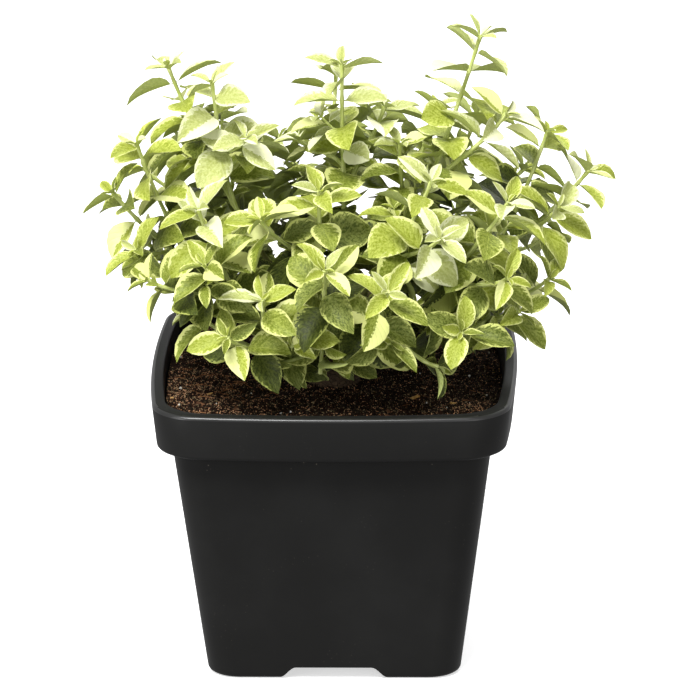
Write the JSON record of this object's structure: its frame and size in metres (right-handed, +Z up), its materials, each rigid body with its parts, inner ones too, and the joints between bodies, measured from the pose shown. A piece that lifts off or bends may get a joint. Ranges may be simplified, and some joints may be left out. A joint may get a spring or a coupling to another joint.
{
  "type": "variegated wintercreeper euonymus in a square nursery pot",
  "caption": "Low bushy evergreen shrub with cream and green mottled leaves, growing in soil in a square black plastic nursery pot with a stepped rim.",
  "frame": {"origin": "middle of the pot's flat underside, on the surface that it stands on", "axes": "+Z up out of the pot, +X to the right and -Y towards the viewer at the pictured front"},
  "size_m": [0.2371, 0.1966, 0.2853],
  "materials": {
    "pot_plastic": "satin black moulded plastic",
    "potting_soil": "moist crumbly peat with bark fibre and white perlite",
    "woody_bark": "rough brown bark",
    "green_stem": "matt olive green young bark, browner at the foot",
    "variegated_leaf": "satin leaf, green mottled with cream at the edges"
  },
  "bodies": {
    "root": {"pot": "pot_plastic", "potting_soil": "potting_soil", "crown": "woody_bark", "bough_left_tall": "green_stem", "bough_left_far": "green_stem", "bough_left_front": "green_stem", "bough_left_low": "green_stem", "bough_centre_left": "green_stem", "bough_front_centre": "green_stem", "bough_front_right": "green_stem", "bough_centre_right": "green_stem", "bough_right_tall": "green_stem", "bough_centre_tall": "green_stem", "bough_upper_right": "green_stem", "bough_right_far": "green_stem", "bough_right_front": "green_stem", "bough_right_low": "green_stem", "bough_back_left": "green_stem", "bough_back_centre": "green_stem", "bough_back_right": "green_stem", "bough_back_low_left": "green_stem", "bough_back_low_right": "green_stem", "foliage_left_tall": "variegated_leaf", "foliage_left_far": "variegated_leaf", "foliage_left_front": "variegated_leaf", "foliage_left_low": "variegated_leaf", "foliage_centre_left": "variegated_leaf", "foliage_front_centre": "variegated_leaf", "foliage_front_right": "variegated_leaf", "foliage_centre_right": "variegated_leaf", "foliage_right_tall": "variegated_leaf", "foliage_centre_tall": "variegated_leaf", "foliage_upper_right": "variegated_leaf", "foliage_right_far": "variegated_leaf", "foliage_right_front": "variegated_leaf", "foliage_right_low": "variegated_leaf", "foliage_back_left": "variegated_leaf", "foliage_back_centre": "variegated_leaf", "foliage_back_right": "variegated_leaf", "foliage_back_low_left": "variegated_leaf", "foliage_back_low_right": "variegated_leaf"}
  },
  "joints": []
}
